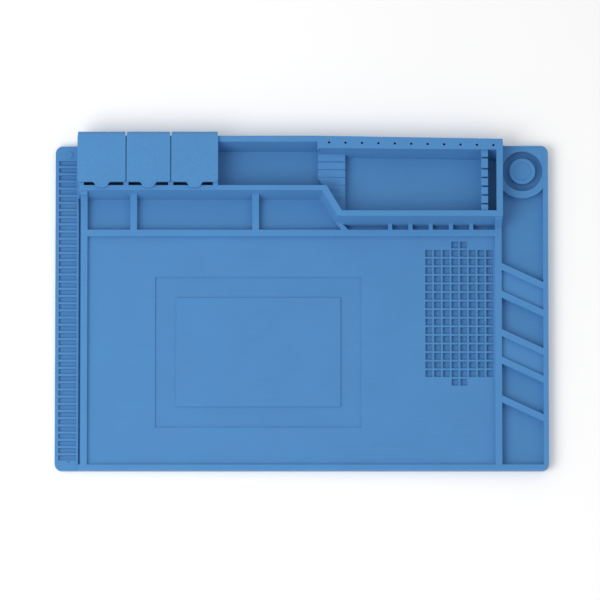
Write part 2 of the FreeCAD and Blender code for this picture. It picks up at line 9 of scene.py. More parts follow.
import bpy
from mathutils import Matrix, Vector

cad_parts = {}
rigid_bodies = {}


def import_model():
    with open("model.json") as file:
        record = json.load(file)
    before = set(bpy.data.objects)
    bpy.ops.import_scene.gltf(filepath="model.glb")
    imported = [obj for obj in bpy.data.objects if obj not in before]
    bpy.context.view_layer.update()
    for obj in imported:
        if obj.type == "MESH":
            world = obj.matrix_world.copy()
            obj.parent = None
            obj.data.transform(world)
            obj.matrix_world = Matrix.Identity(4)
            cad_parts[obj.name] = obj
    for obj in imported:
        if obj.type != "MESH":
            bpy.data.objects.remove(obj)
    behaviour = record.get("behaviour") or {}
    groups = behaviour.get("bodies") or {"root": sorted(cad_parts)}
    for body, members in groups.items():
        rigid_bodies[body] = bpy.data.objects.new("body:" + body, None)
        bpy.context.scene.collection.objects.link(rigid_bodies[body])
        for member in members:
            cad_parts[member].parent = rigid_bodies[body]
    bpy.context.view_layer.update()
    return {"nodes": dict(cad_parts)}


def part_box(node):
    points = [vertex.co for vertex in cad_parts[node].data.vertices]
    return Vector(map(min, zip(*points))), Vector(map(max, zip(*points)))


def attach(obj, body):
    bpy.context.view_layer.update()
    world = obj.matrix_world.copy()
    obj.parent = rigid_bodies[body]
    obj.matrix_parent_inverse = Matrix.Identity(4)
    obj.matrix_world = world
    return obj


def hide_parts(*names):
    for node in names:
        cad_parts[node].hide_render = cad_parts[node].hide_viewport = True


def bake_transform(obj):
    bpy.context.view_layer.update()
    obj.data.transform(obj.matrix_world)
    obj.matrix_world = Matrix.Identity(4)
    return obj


MM = 0.001
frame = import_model()


# Selecting and cutting, as by hand

def start_piece(name):
    """Names the primitive that was just added, and leaves only it selected."""
    piece = bpy.context.object
    piece.name = name
    piece.data.name = name
    return piece


def select_nothing():
    """Leaves nothing selected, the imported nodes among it."""
    if bpy.context.object and bpy.context.object.mode != "OBJECT":
        bpy.ops.object.mode_set(mode="OBJECT")
    bpy.ops.object.select_all(action="DESELECT")


def only(piece):
    select_nothing()
    piece.select_set(True)
    bpy.context.view_layer.objects.active = piece


def pick(piece, kind, wanted):
    """Leaves the piece in edit mode with only the wanted points, edges or faces selected; says how many."""
    only(piece)
    mesh = piece.data
    for group in (mesh.vertices, mesh.edges, mesh.polygons):
        group.foreach_set("select", [False] * len(group))
    count = 0
    for element in {"VERT": mesh.vertices, "EDGE": mesh.edges, "FACE": mesh.polygons}[kind]:
        if wanted(element):
            element.select = True
            count += 1
    bpy.context.tool_settings.mesh_select_mode = (kind == "VERT", kind == "EDGE", kind == "FACE")
    bpy.ops.object.mode_set(mode="EDIT")
    return count


def done():
    bpy.ops.object.mode_set(mode="OBJECT")


def faces_up(piece, x0, x1, y0, y1, z0=-1.0, z1=1.0):
    """Selects the faces that look up and have their middle in a box."""
    return pick(piece, "FACE", lambda f: (
        f.normal.z > 0.5 and x0 < f.center.x < x1 and y0 < f.center.y < y1 and z0 < f.center.z < z1
    ))


def cut(point, direction):
    """Cuts the selected faces along a plane."""
    bpy.ops.mesh.bisect(plane_co=point, plane_no=direction, threshold=1e-6)


def cut_across(piece, axis, places, x0, x1, y0, y1):
    """Cuts the upward faces of an area along lines of constant X or Y."""
    direction = (1, 0, 0) if axis == "X" else (0, 1, 0)
    for place in places:
        if faces_up(piece, x0, x1, y0, y1):
            cut((place, place, 0), direction)
    done()


def extrude(distance):
    bpy.ops.mesh.extrude_region_move(TRANSFORM_OT_translate={"value": distance})


def move(distance):
    bpy.ops.transform.translate(value=distance)


def sharp_edges(piece, angle, wanted=lambda a, b: True):
    """Selects the edges that turn by more than an angle, with both ends wanted."""
    mesh = piece.data
    sides_of = {}
    for face in mesh.polygons:
        for key in face.edge_keys:
            sides_of.setdefault(key, []).append(face.normal)
    limit = math.cos(math.radians(angle))
    points = mesh.vertices

    def turns(edge):
        sides = sides_of.get(tuple(sorted(edge.vertices)), [])
        if len(sides) != 2 or sides[0].dot(sides[1]) > limit:
            return False
        return wanted(points[edge.vertices[0]].co, points[edge.vertices[1]].co)

    return pick(piece, "EDGE", turns)


def upright(piece, edge):
    ends = [piece.data.vertices[v].co for v in edge.vertices]
    return abs(ends[0].z - ends[1].z) > MM


def soften(width, segments):
    bpy.ops.mesh.bevel(offset=width, segments=segments, profile=0.5, affect="EDGES", clamp_overlap=True)
    done()


def combine(piece, tool, operation):
    """Adds another solid to a piece or takes it away, and removes the tool."""
    only(piece)
    change = piece.modifiers.new("Combine", "BOOLEAN")
    change.operation = operation
    change.solver = "EXACT"
    change.object = tool
    bpy.ops.object.modifier_apply(modifier=change.name)
    bpy.data.objects.remove(tool)


# Lines of the plan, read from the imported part

def low(node):
    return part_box(node)[0]


def high(node):
    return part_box(node)[1]


LEFT, FRONT = low("base_sheet").x, low("base_sheet").y
RIGHT, BACK = high("base_sheet").x, high("base_sheet").y
SHEET = high("base_sheet").z
FLOOR = high("work_floor").z
RAIL = high("left_rail").z
RIDGE = high("ridge_rest").z
COMB = high("notched_comb").z
BLOCK = high("bit_rack").z
NOTCH = COMB - 7 * MM
LEVELS = (SHEET, FLOOR, RAIL, NOTCH, COMB, BLOCK)

STRIP = high("screw_cell_strip").x
FRAME_LEFT, WORK_LEFT = low("left_rail").x, high("left_rail").x
WORK_RIGHT, COLUMN = low("right_rail").x, high("right_rail").x
RIM = low("right_rim").x
WORK_FRONT, WORK_BACK = low("work_floor").y, high("work_floor").y
ROW_FRONT = high("middle_rail").y
ROW_BACK, BOX_FRONT = low("front_wall_left").y, high("front_wall_left").y
BINS_BACK, TOOL_FRONT = low("front_wall_right").y, high("front_wall_right").y
TRAY_BACK, BLOCK_BACK = low("back_wall").y, high("back_wall").y
RACK_FRONT = low("bit_rack").y
END_LEFT, END_RIGHT = low("tray_end_wall").x, high("tray_end_wall").x
RIDGE_RIGHT = high("ridge_rest").x
COMB_LEFT, COMB_RIGHT = low("notched_comb").x, high("notched_comb").x
BLOCK_END = low("block_end_wall").x
RAMP = 7 * MM
NOTCHES = [((93.05 + 8.1 * i) * MM, (94.55 + 8.1 * i) * MM) for i in range(5)] + [(135.75 * MM, 137.25 * MM)]

# The slanted wall from the long tray's front to the bins: its outer line, its inner line, the divider below.
OUTER = (
    Vector((low("front_wall_slanted").x, ROW_BACK, 0)),
    Vector((low("row_divider_slanted").x, BINS_BACK, 0)),
)
INNER = (
    Vector((high("front_wall_left").x, BOX_FRONT, 0)),
    Vector((high("front_wall_slanted").x, TOOL_FRONT, 0)),
)
SLANT = (OUTER[1] - OUTER[0]).normalized()
SLANT_BACKWARDS = Vector((-SLANT.y, SLANT.x, 0))
FOOT_LEFT = OUTER[1]
FOOT_RIGHT = OUTER[1] + Vector((6.2 * MM, 0, 0))

DIVIDERS = [(low(n).x, high(n).x) for n in ("row_divider_left", "row_divider_right")]
BINS = [(low(f"bin_divider_{i}").x, high(f"bin_divider_{i}").x) for i in range(1, 6)]
BOX_WALLS = [(low(n).x, high(n).x) for n in (
    "box_wall_left", "box_partition_left", "box_partition_right", "box_wall_right"
)]
RIB_HEIGHT = 6.5 * MM
RIB_TOPS = [high(f"column_rib_{i}").y for i in range(1, 6)]
RIB_FALL = (RIB_TOPS[0] - low("column_rib_1").y - RIB_HEIGHT) / (RIM - COLUMN)
DISH = (low("dish_seat") + high("dish_seat")) / 2


def between(value, start, end):
    return start < value < end


def behind(point, line_point):
    """True on the side of a line along the slant that faces the back right corner."""
    return (point - line_point).dot(SLANT_BACKWARDS) > 0


def column_level(p):
    if p.y > BACK - 2 * MM:
        return RAIL
    place = p.y + RIB_FALL * (p.x - COLUMN)
    for number, top in enumerate(RIB_TOPS):
        if between(place, top - RIB_HEIGHT, top):
            return RAIL
        if number in (1, 3) and between(place, top, RIB_TOPS[number - 1] - RIB_HEIGHT):
            return FLOOR
    return SHEET


def block_level(p):
    if p.y > (TRAY_BACK if p.x < END_LEFT else RACK_FRONT):
        return BLOCK
    if p.y < TOOL_FRONT and p.x > OUTER[1].x or p.y < BOX_FRONT and not behind(p, INNER[0]):
        return BLOCK
    if p.x > BLOCK_END:
        return BLOCK
    if any(between(p.x, *wall) for wall in BOX_WALLS):
        return BLOCK
    if between(p.x, COMB_LEFT, COMB_RIGHT):
        return NOTCH if any(between(p.y, *notch) for notch in NOTCHES) else COMB
    return SHEET


def row_level(p):
    if any(between(p.x, *divider) for divider in DIVIDERS):
        return NOTCH if p.y > ROW_BACK - RAMP else RAIL
    if p.y < BINS_BACK and any(between(p.x, *wall) for wall in BINS):
        return RAIL
    slanted = p.y < BINS_BACK and behind(p, FOOT_LEFT) and not behind(p, FOOT_RIGHT)
    return RAIL if slanted else SHEET


def level_at(p):
    """Height of the moulding's top at a place of its plan."""
    p = Vector((p.x, p.y, 0))
    if p.x < STRIP:
        return FLOOR
    if p.y < WORK_FRONT or p.x > RIM:
        return RAIL
    if p.x > COLUMN:
        return column_level(p)
    if p.y > ROW_BACK or p.y > BINS_BACK and behind(p, OUTER[0]):
        return block_level(p)
    if p.x < FRAME_LEFT:
        return SHEET
    if p.x < WORK_LEFT:
        return COMB if p.y > ROW_BACK - RAMP else RAIL
    if p.x > WORK_RIGHT:
        return COMB if p.y > BINS_BACK - RAMP else RAIL
    if p.y < WORK_BACK:
        return FLOOR
    return RAIL if p.y < ROW_FRONT else row_level(p)


# The moulding

def make_sheet():
    """The thin sheet with its round corners, and the foot of the block that stands past its back edge."""
    middle = ((LEFT + RIGHT) / 2, (FRONT + BACK) / 2, SHEET / 2)
    select_nothing()
    bpy.ops.mesh.primitive_cube_add(size=1, location=middle, scale=(RIGHT - LEFT, BACK - FRONT, SHEET))
    mat = start_piece("mat_moulding")
    bpy.ops.object.transform_apply(location=True, rotation=True, scale=True)
    points = mat.data.vertices
    pick(mat, "EDGE", lambda e: abs(points[e.vertices[0]].co.z - points[e.vertices[1]].co.z) > SHEET / 2)
    soften(6.5 * MM, 8)
    for place in (STRIP, COLUMN):
        pick(mat, "FACE", lambda f: f.normal.z > 0.5 or f.normal.y > 0.99)
        cut((place, 0, 0), (1, 0, 0))
    pick(mat, "FACE", lambda f: f.normal.y > 0.99 and between(f.center.x, STRIP, COLUMN))
    extrude((0, BLOCK_BACK - BACK, 0))
    done()
    points = mat.data.vertices

    def old_back(edge):
        ends = [points[v].co for v in edge.vertices]
        return all(abs(e.y - BACK) < 1e-5 and between(e.x, STRIP - MM, COLUMN + MM) for e in ends) \
            and abs(ends[0].x - ends[1].x) > MM

    pick(mat, "EDGE", old_back)
    bpy.ops.mesh.dissolve_edges(use_verts=False)
    done()
    return mat


def cut_plan(mat):
    """Draws every wall line of the plan on the sheet's top."""
    everywhere = 1.0
    cut_across(mat, "Y", [WORK_FRONT], STRIP, everywhere, -everywhere, everywhere)
    cut_across(mat, "X", [RIM], COLUMN, everywhere, WORK_FRONT, everywhere)
    cut_across(mat, "Y", [BACK - 2 * MM], COLUMN, RIM, WORK_FRONT, BACK)
    for top in RIB_TOPS:
        for place in (top, top - RIB_HEIGHT):
            faces_up(mat, COLUMN, RIM, WORK_FRONT, DISH.y)
            cut((COLUMN, place, 0), (RIB_FALL, 1, 0))
    cut_across(mat, "Y", [BINS_BACK], STRIP, COLUMN, WORK_FRONT, BLOCK_BACK)
    cut_across(mat, "Y", [TOOL_FRONT], STRIP, COLUMN, BINS_BACK, BLOCK_BACK)
    cut_across(mat, "X", [RIDGE_RIGHT], STRIP, COLUMN, TOOL_FRONT, BLOCK_BACK)
    cut_across(mat, "Y", [RACK_FRONT], RIDGE_RIGHT, COLUMN, TOOL_FRONT, BLOCK_BACK)
    cut_across(mat, "X", [COMB_LEFT, COMB_RIGHT, BLOCK_END], RIDGE_RIGHT, COLUMN, TOOL_FRONT, RACK_FRONT)
    notch_sides = [y for notch in NOTCHES for y in notch]
    cut_across(mat, "Y", notch_sides, COMB_LEFT, COMB_RIGHT, TOOL_FRONT, RACK_FRONT)
    cut_across(mat, "Y", [ROW_BACK, BOX_FRONT], STRIP, RIDGE_RIGHT, TOOL_FRONT, BLOCK_BACK)
    cut_across(mat, "X", [END_LEFT, END_RIGHT], STRIP, RIDGE_RIGHT, BOX_FRONT, BLOCK_BACK)
    cut_across(mat, "Y", [TRAY_BACK], STRIP, END_LEFT, BOX_FRONT, BLOCK_BACK)
    cut_across(mat, "Y", [RACK_FRONT], END_LEFT, RIDGE_RIGHT, BOX_FRONT, BLOCK_BACK)
    inner_sides = [x for wall in BOX_WALLS for x in wall if x > STRIP + MM]
    cut_across(mat, "X", inner_sides, STRIP, END_LEFT, BOX_FRONT, TRAY_BACK)
    faces_up(mat, STRIP, RIDGE_RIGHT, TOOL_FRONT, BOX_FRONT)
    cut(INNER[0], SLANT_BACKWARDS)
    faces_up(mat, STRIP, COLUMN, BINS_BACK, ROW_BACK)
    cut(OUTER[0], SLANT_BACKWARDS)
    cut_across(mat, "X", [FRAME_LEFT, WORK_LEFT], STRIP, COLUMN, WORK_FRONT, BINS_BACK)
    cut_across(mat, "X", [FRAME_LEFT, WORK_LEFT], STRIP, OUTER[0].x, BINS_BACK, ROW_BACK)
    cut_across(mat, "X", [WORK_RIGHT], WORK_LEFT, COLUMN, WORK_FRONT, BINS_BACK)
    cut_across(mat, "Y", [WORK_BACK, ROW_FRONT], WORK_LEFT, WORK_RIGHT, WORK_FRONT, BINS_BACK)
    divider_sides = [x for divider in DIVIDERS for x in divider]
    cut_across(mat, "X", divider_sides, WORK_LEFT, WORK_RIGHT, ROW_FRONT, ROW_BACK)
    for place in (FOOT_LEFT, FOOT_RIGHT):
        faces_up(mat, DIVIDERS[1][1], WORK_RIGHT, ROW_FRONT, BINS_BACK)
        cut(place, SLANT_BACKWARDS)
    cut_across(mat, "X", [x for wall in BINS for x in wall], FOOT_RIGHT.x, WORK_RIGHT, ROW_FRONT, BINS_BACK)
    for sides in [(FRAME_LEFT, WORK_LEFT)] + DIVIDERS:
        cut_across(mat, "Y", [ROW_BACK - RAMP], *sides, BINS_BACK, ROW_BACK)
    cut_across(mat, "Y", [BINS_BACK - RAMP], WORK_RIGHT, COLUMN, WORK_FRONT, BINS_BACK)


def raise_walls(mat):
    """Raises what stands above each level, one level at a time."""
    for start, end in zip(LEVELS, LEVELS[1:]):
        pick(mat, "FACE", lambda f: (
            f.normal.z > 0.5 and abs(f.center.z - start) < 1e-5 and level_at(f.center) > end - 1e-5
        ))
        extrude((0, 0, end - start))
        done()


def lean(mat, wanted, foot, crest, direction=Vector((0, 1, 0))):
    """Gives a wall's face its draft: from its foot to its crest the face moves by two distances."""
    for level in LEVELS:
        share = (level - SHEET) / (BLOCK - SHEET)
        distance = foot + (crest - foot) * share
        count = pick(mat, "VERT", lambda v: abs(v.co.z - level) < 1e-5 and wanted(v.co))
        if count:
            move(direction * distance)
        done()


def draft_walls(mat):
    near = 2e-5
    corner_shift = Vector((0.568, 1, 0))

    def on_slant(corner):
        off_line = (corner - OUTER[0]).dot(SLANT_BACKWARDS)
        return abs(off_line) < near and between(corner.y, BINS_BACK - near, ROW_BACK + near)

    lean(mat, lambda c: abs(c.y - TRAY_BACK) < near and between(c.x, STRIP, END_RIGHT), -3.3 * MM, 2.0 * MM)
    lean(mat, lambda c: abs(c.y - RACK_FRONT) < near and between(c.x, END_LEFT + MM, COLUMN - MM),
         -2.3 * MM, 2.0 * MM)
    lean(mat, on_slant, -2.4 * MM, 2.4 * MM, corner_shift)
    lean(mat, lambda c: abs(c.y - ROW_BACK) < near and between(c.x, STRIP - near, OUTER[0].x - near),
         -2.4 * MM, 2.4 * MM)
    lean(mat, lambda c: abs(c.y - BINS_BACK) < near and between(c.x, OUTER[1].x + near, COLUMN + near),
         -4.6 * MM, 1.8 * MM)
    lean(mat, lambda c: abs(c.x - STRIP) < near and c.y > ROW_BACK - 3 * MM,
         -0.8 * MM, 1.0 * MM, Vector((1, 0, 0)))
    lean(mat, lambda c: abs(c.x - COLUMN) < near and c.y > BINS_BACK - 3 * MM,
         0, 1.0 * MM, Vector((1, 0, 0)))
    for line, steepest in ((ROW_BACK - RAMP, 5.4 * MM), (BINS_BACK - RAMP, 6.6 * MM)):
        for level in (NOTCH, COMB):
            share = (level - RAIL) / (COMB - RAIL) if level == COMB or line < ROW_FRONT + RAMP else 1
            pick(mat, "VERT", lambda v: abs(v.co.z - level) < 1e-5 and abs(v.co.y - line) < near)
            move((0, steepest * share, 0))
            done()


def draft_pockets(mat):
    """Leans the front face of every slanting rib and the inner face of the right rim."""
    def on_rib_front(c):
        line = c.y + RIB_FALL * (c.x - COLUMN)
        return c.x > COLUMN - 1e-5 and any(abs(line - top + RIB_HEIGHT) < 2e-5 for top in RIB_TOPS)

    pick(mat, "VERT", lambda v: abs(v.co.z - SHEET) < 1e-5 and on_rib_front(v.co))
    move((0, -1.4 * MM, 0))
    done()
    pick(mat, "VERT", lambda v: abs(v.co.z - SHEET) < 1e-5 and abs(v.co.x - RIM) < 2e-5)
    move((-1.5 * MM, 0, 0))
    done()


def block_fall(x):
    """How far the back of the block comes forward at a place along its right half."""
    return max(0.0, (x - END_RIGHT) / (COLUMN - END_RIGHT)) * 2.8 * MM


def settle_block(mat):
    """The rack at the right half of the block comes forward a little towards its end."""
    stretches = (
        (RACK_FRONT - 3 * MM, RACK_FRONT, 1.0),
        (RACK_FRONT, RACK_FRONT + 4 * MM, 0.5),
        (BLOCK_BACK - MM, BLOCK_BACK + MM, 1.0),
    )
    for place in (RIDGE_RIGHT, COMB_LEFT, COMB_RIGHT, BLOCK_END, COLUMN):
        for front, back, share in stretches:
            pick(mat, "VERT", lambda v: abs(v.co.x - place) < 1.5 * MM and between(v.co.y, front, back)
                 and (share == 1.0 or v.co.z > COMB))
            move((0, -block_fall(place) * share, 0))
            done()


def merge_flats(piece):
    """Joins the flat faces that the plan's lines had parted."""
    pick(piece, "FACE", lambda f: True)
    bpy.ops.mesh.dissolve_limited(angle_limit=math.radians(0.5), use_dissolve_boundaries=False)
    done()


def make_dish():
    """The ring of the dish, its floor and the seat with its shallow well, turned round one centre."""
    wall, hollow, crest, floor = 25 * MM, 18.4 * MM, RAIL - 0.35 * MM, SHEET + 0.1 * MM
    seat = (high("dish_seat").x - low("dish_seat").x) / 2
    select_nothing()
    bpy.ops.mesh.primitive_cylinder_add(
        vertices=96, radius=wall, depth=crest - 0.5 * MM, location=(DISH.x, DISH.y, (crest + 0.5 * MM) / 2)
    )
    dish = start_piece("dish_tool")
    bpy.ops.object.transform_apply(location=True, rotation=True, scale=True)
    pick(dish, "FACE", lambda f: f.normal.z > 0.9)
    steps = (
        (wall - hollow, floor - crest), (hollow - seat, high("dish_seat").z - floor), (3.4 * MM, -0.9 * MM)
    )
    for inset, rise in steps:
        bpy.ops.mesh.inset(thickness=inset)
        extrude((0, 0, rise))
    done()
    pick(dish, "VERT", lambda v: (v.co - DISH).xy.length > 24 * MM and v.co.y > DISH.y - 0.1 * MM)
    bpy.ops.transform.resize(value=(1.6, 1.6, 1), center_override=(DISH.x, DISH.y, 0))
    done()
    sides = ((COLUMN - 0.6 * MM, (-1, 0, 0)), (RIM + MM, (1, 0, 0)), (BACK - 0.8 * MM, (0, 1, 0)))
    for place, direction in sides:
        pick(dish, "FACE", lambda f: True)
        bpy.ops.mesh.bisect(
            plane_co=(place, place, 0), plane_no=direction, use_fill=True, clear_outer=True, threshold=1e-6
        )
        done()
    sharp_edges(dish, 40, lambda a, b: min(a.z, b.z) > MM)
    soften(0.6 * MM, 3)
    return dish


def make_ridge():
    """The grooved rest for tool handles, cut to the slanted wall on one side."""
    x0, x1 = END_LEFT + 0.4 * MM, RIDGE_RIGHT
    y0, y1 = TOOL_FRONT - 3 * MM, RACK_FRONT + MM
    select_nothing()
    bpy.ops.mesh.primitive_cube_add(
        size=1, location=((x0 + x1) / 2, (y0 + y1) / 2, (RIDGE + MM) / 2),
        scale=(x1 - x0, y1 - y0, RIDGE - MM)
    )
    ridge = start_piece("ridge_tool")
    bpy.ops.object.transform_apply(location=True, rotation=True, scale=True)
    pick(ridge, "FACE", lambda f: True)
    bpy.ops.mesh.bisect(
        plane_co=INNER[0] - SLANT_BACKWARDS * 2 * MM, plane_no=SLANT_BACKWARDS,
        use_fill=True, clear_inner=True, threshold=1e-6
    )
    done()
    for i in range(6):
        middle = (137.4 - 7.3 * i) * MM
        for half, depth in ((2.9, 0.0), (2.0, 1.4), (0.9, 2.0)):
            for side in (-1, 1):
                place = middle + side * half * MM
                faces_up(ridge, x0, x1, y0, y1)
                cut((0, place, 0), (0, 1, 0))
                done()
                pick(ridge, "VERT", lambda v: abs(v.co.y - place) < 1e-5 and v.co.z > RIDGE - 1e-5)
                move((0, 0, -depth * MM))
                done()
    sharp_edges(ridge, 35, lambda a, b: min(a.z, b.z) > 4 * MM)
    soften(0.45 * MM, 2)
    return ridge


def make_bit_holes():
    """The row of blind holes along the rack, for driver bits and needles."""
    select_nothing()
    for i in range(11):
        x = (25 + 15 * i) * MM
        bpy.ops.mesh.primitive_cylinder_add(
            vertices=20, radius=1.1 * MM, depth=20 * MM,
            location=(x, BLOCK_BACK - 6 * MM - block_fall(x), BLOCK - 6 * MM)
        )
        bpy.context.object.name = f"bit_hole_{i}"
    holes = [o for o in bpy.data.objects if o.name.startswith("bit_hole_")]
    select_nothing()
    for hole in holes:
        hole.select_set(True)
    bpy.context.view_layer.objects.active = holes[0]
    bpy.ops.object.join()
    return holes[0]


def make_peg():
    select_nothing()
    bpy.ops.mesh.primitive_cylinder_add(
        vertices=32, radius=3 * MM, depth=3 * MM, location=(LEFT + 13 * MM, BACK - 8 * MM, FLOOR - 0.7 * MM)
    )
    peg = start_piece("peg_tool")
    pick(peg, "EDGE", lambda e: all(peg.data.vertices[v].co.z > 0 for v in e.vertices))
    soften(0.45 * MM, 3)
    return peg


def make_end_mark():
    """The small dent near the front end of the strip of cells."""
    select_nothing()
    bpy.ops.mesh.primitive_cube_add(
        size=1, location=(LEFT + 13 * MM, FRONT + 8.5 * MM, FLOOR), scale=(2 * MM, 3 * MM, 1.8 * MM)
    )
    dent = start_piece("end_mark_tool")
    bpy.ops.object.transform_apply(location=True, rotation=True, scale=True)
    pick(dent, "EDGE", lambda e: upright(dent, e))
    soften(0.7 * MM, 3)
    return dent


def cut_strip_cells(mat):
    """The row of small cells for screws along the left edge."""
    x0, x1 = LEFT + 3.4 * MM, LEFT + 19.4 * MM
    strip = (LEFT, STRIP, FRONT, BACK)
    floor = (FLOOR - 1e-5, FLOOR + 1e-5)
    for place in (x0, x1):
        faces_up(mat, *strip, *floor)
        cut((place, 0, 0), (1, 0, 0))
        done()
    cells = []
    for i in range(42):
        back = (136.5 - 6.65 * i) * MM
        cells.append((back - 4.5 * MM, back))
    for place in [y for cell in cells for y in cell]:
        faces_up(mat, x0, x1, FRONT, BACK, *floor)
        cut((0, place, 0), (0, 1, 0))
        done()

    def in_cell(f):
        return f.normal.z > 0.9 and abs(f.center.z - FLOOR) < 1e-5 and between(f.center.x, x0, x1) \
            and any(between(f.center.y, *cell) for cell in cells)

    pick(mat, "FACE", in_cell)
    extrude((0, 0, -2.6 * MM))
    done()

    def round_cells(p):
        return between(p.x, x0 - 1e-5, x1 + 1e-5) and between(p.y, cells[-1][0] - 1e-5, cells[0][1] + 1e-5)

    sharp_edges(mat, 50, lambda a, b: round_cells(a) and round_cells(b))
    soften(0.35 * MM, 2)


def sink_border(mat):
    """The sunken band round the flat plateau in the middle of the work floor."""
    middle = Vector(((WORK_LEFT + WORK_RIGHT) / 2 - 30 * MM, (WORK_FRONT + WORK_BACK) / 2 - 1.2 * MM, 0))
    outer, inner = (94 * MM, 69.5 * MM), (75 * MM, 50.5 * MM)
    area = [WORK_LEFT, low("screw_grid_panel").x, WORK_FRONT, WORK_BACK]
    floor = (FLOOR - 1e-5, FLOOR + 1e-5)
    for half in (outer, inner):
        for side in (-1, 1):
            faces_up(mat, *area, *floor)
            cut((middle.x + side * half[0], 0, 0), (1, 0, 0))
            done()
        area[0], area[1] = middle.x - half[0], middle.x + half[0]
        for side in (-1, 1):
            faces_up(mat, *area, *floor)
            cut((0, middle.y + side * half[1], 0), (0, 1, 0))
            done()
        area[2], area[3] = middle.y - half[1], middle.y + half[1]

    def inside(p, half):
        return abs(p.x - middle.x) < half[0] + 1e-5 and abs(p.y - middle.y) < half[1] + 1e-5

    pick(mat, "FACE", lambda f: f.normal.z > 0.9 and abs(f.center.z - FLOOR) < 1e-5
         and inside(f.center, outer) and not inside(f.center, inner))
    extrude((0, 0, -1.2 * MM))
    done()
    sharp_edges(mat, 50, lambda a, b: inside(a, outer) and inside(b, outer))
    soften(0.4 * MM, 2)


def cut_wells(mat):
    """The field of small square wells, with two more at the middle of its front and back."""
    size, pitch = 6.1 * MM, 7.95 * MM
    left = WORK_RIGHT - 1.7 * MM - 7 * pitch - size
    front = -4.9 * MM - (14 * pitch + size) / 2 - pitch
    columns = [(left + i * pitch, left + i * pitch + size) for i in range(8)]
    rows = [(front + i * pitch, front + i * pitch + size) for i in range(17)]
    floor = (FLOOR - 1e-5, FLOOR + 1e-5)
    x0, x1 = low("screw_grid_panel").x, WORK_RIGHT
    faces_up(mat, WORK_LEFT, x1, WORK_FRONT, WORK_BACK, *floor)
    cut((x0, 0, 0), (1, 0, 0))
    done()
    for place in [y for row in rows for y in row]:
        faces_up(mat, x0, x1, WORK_FRONT, WORK_BACK, *floor)
        cut((0, place, 0), (0, 1, 0))
        done()
    for place in [x for column in columns for x in column]:
        pick(mat, "FACE", lambda f: f.normal.z > 0.9 and abs(f.center.z - FLOOR) < 1e-5
             and between(f.center.x, x0, x1) and any(between(f.center.y, *row) for row in rows))
        cut((place, 0, 0), (1, 0, 0))
        done()

    def is_well(f):
        if not (f.normal.z > 0.9 and abs(f.center.z - FLOOR) < 1e-5):
            return False
        column = [i for i, span in enumerate(columns) if between(f.center.x, *span)]
        row = [i for i, span in enumerate(rows) if between(f.center.y, *span)]
        return bool(column and row) and (0 < row[0] < 16 or column[0] in (3, 4))

    pick(mat, "FACE", is_well)
    extrude((0, 0, -3 * MM))
    done()

    def round_wells(p):
        return (between(p.x, left - 1e-5, WORK_RIGHT - 1.6 * MM)
                and between(p.y, front - 1e-5, rows[-1][1] + 1e-5))

    sharp_edges(mat, 50, lambda a, b: round_wells(a) and round_wells(b))
    soften(0.4 * MM, 2)


def close_slivers(piece):
    """Closes hair-thin gaps left where solids were joined."""
    pick(piece, "FACE", lambda f: True)
    bpy.ops.mesh.fill_holes(sides=4)
    done()


def make_moulding():
    mat = make_sheet()
    cut_plan(mat)
    raise_walls(mat)
    draft_walls(mat)
    draft_pockets(mat)
    settle_block(mat)
    merge_flats(mat)
    sharp_edges(mat, 25)
    soften(0.6 * MM, 3)
    combine(mat, make_dish(), "UNION")
    cut_strip_cells(mat)
    cut_wells(mat)
    sink_border(mat)
    combine(mat, make_ridge(), "UNION")
    combine(mat, make_bit_holes(), "DIFFERENCE")
    combine(mat, make_peg(), "UNION")
    combine(mat, make_end_mark(), "DIFFERENCE")
    close_slivers(mat)
    return mat


# Lids and hinges

def finish_surface(piece):
    """Smooth shading over the rounded edges that leaves the flats flat."""
    only(piece)
    bpy.ops.object.shade_smooth_by_angle(angle=math.radians(40))
    flats = piece.modifiers.new("Flats", "WEIGHTED_NORMAL")
    flats.weight = 100
    flats.keep_sharp = True
    bpy.ops.object.modifier_apply(modifier=flats.name)


def lid_sides(side):
    """A lid's left and right; the outer lid hangs a little further over the strip of cells."""
    node = f"lid_{side}"
    return low(node).x - (1.2 * MM if side == "left" else 0), high(node).x


